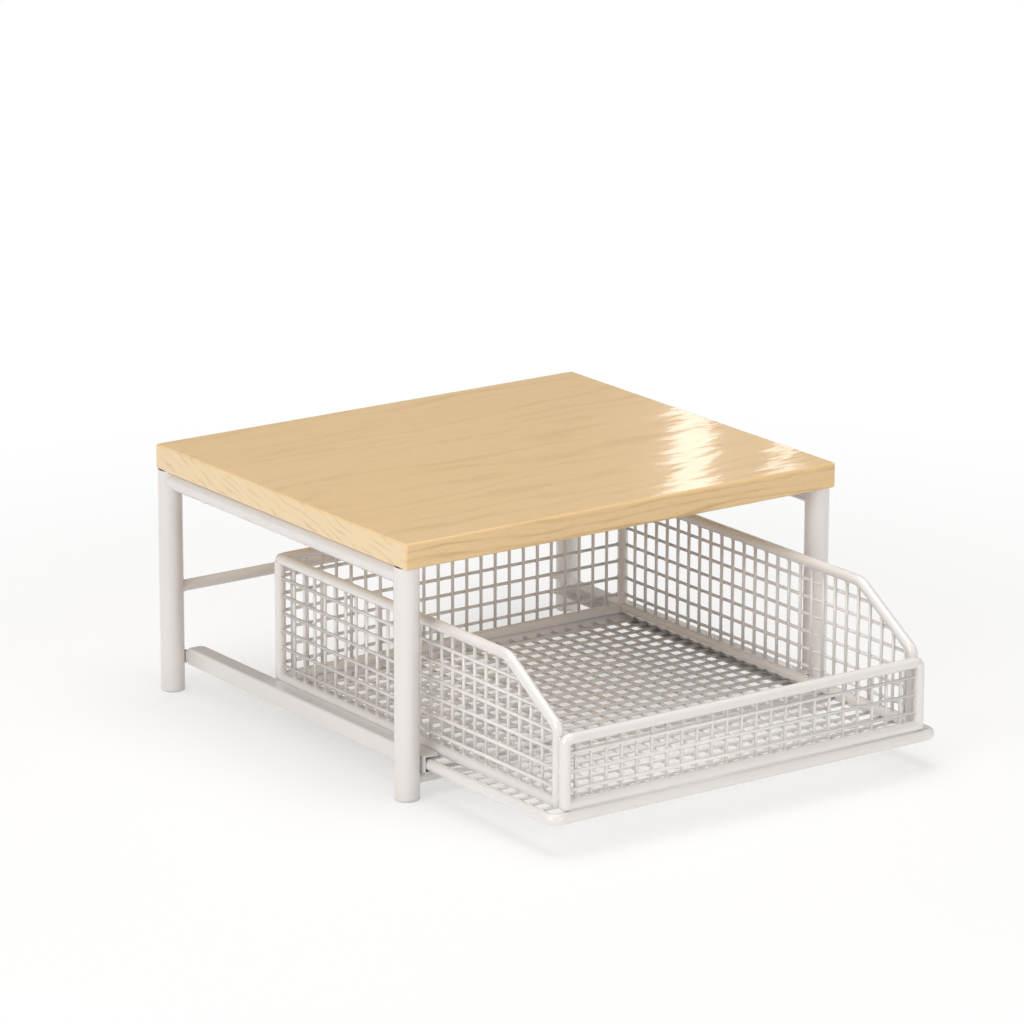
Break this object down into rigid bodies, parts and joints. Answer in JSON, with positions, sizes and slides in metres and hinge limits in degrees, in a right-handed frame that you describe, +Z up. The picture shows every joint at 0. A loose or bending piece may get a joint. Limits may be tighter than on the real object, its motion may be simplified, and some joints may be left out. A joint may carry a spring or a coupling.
{
  "type": "microwave stand with drawer",
  "caption": "Low countertop stand with a wooden top on round steel legs and a pull-out wire basket drawer that slides in channel rails.",
  "frame": {"origin": "on the floor, below the middle of the outline that the stand and its pulled-out drawer have together", "axes": "+Z up, +Y to the back of the stand, the drawer opens towards -Y, +X to the right of someone facing the drawer"},
  "size_m": [0.5226, 0.655, 0.26],
  "materials": {
    "board_wood": "satin clear lacquer over pale oak grain",
    "stand_coat": "smooth semi-gloss warm white powder coat",
    "drawer_coat": "smooth semi-gloss warm white powder coat",
    "foot_plastic": "white moulded plastic"
  },
  "bodies": {
    "stand": {"top_board": "board_wood", "leg_front_left": "stand_coat", "leg_front_right": "stand_coat", "leg_rear_left": "stand_coat", "leg_rear_right": "stand_coat", "foot_cap_front_left": "foot_plastic", "foot_cap_front_right": "foot_plastic", "foot_cap_rear_left": "foot_plastic", "foot_cap_rear_right": "foot_plastic", "side_tube_left": "stand_coat", "side_tube_right": "stand_coat", "rear_cross_bar": "stand_coat", "front_cross_bar": "stand_coat", "rail_left": "stand_coat", "rail_right": "stand_coat", "rail_tab_left": "stand_coat", "rail_tab_right": "stand_coat"},
    "drawer": {"base_ring": "drawer_coat", "floor_mesh": "drawer_coat", "front_frame": "drawer_coat", "front_mesh": "drawer_coat", "rear_frame": "drawer_coat", "rear_mesh": "drawer_coat", "side_frame_left": "drawer_coat", "side_frame_right": "drawer_coat", "side_mesh_left": "drawer_coat", "side_mesh_right": "drawer_coat"}
  },
  "joints": [
    {"name": "drawer_slide", "type": "slide", "parent": "stand", "child": "drawer", "axis": [0, -1, 0], "range_m": [-0.135, 0.12]}
  ]
}
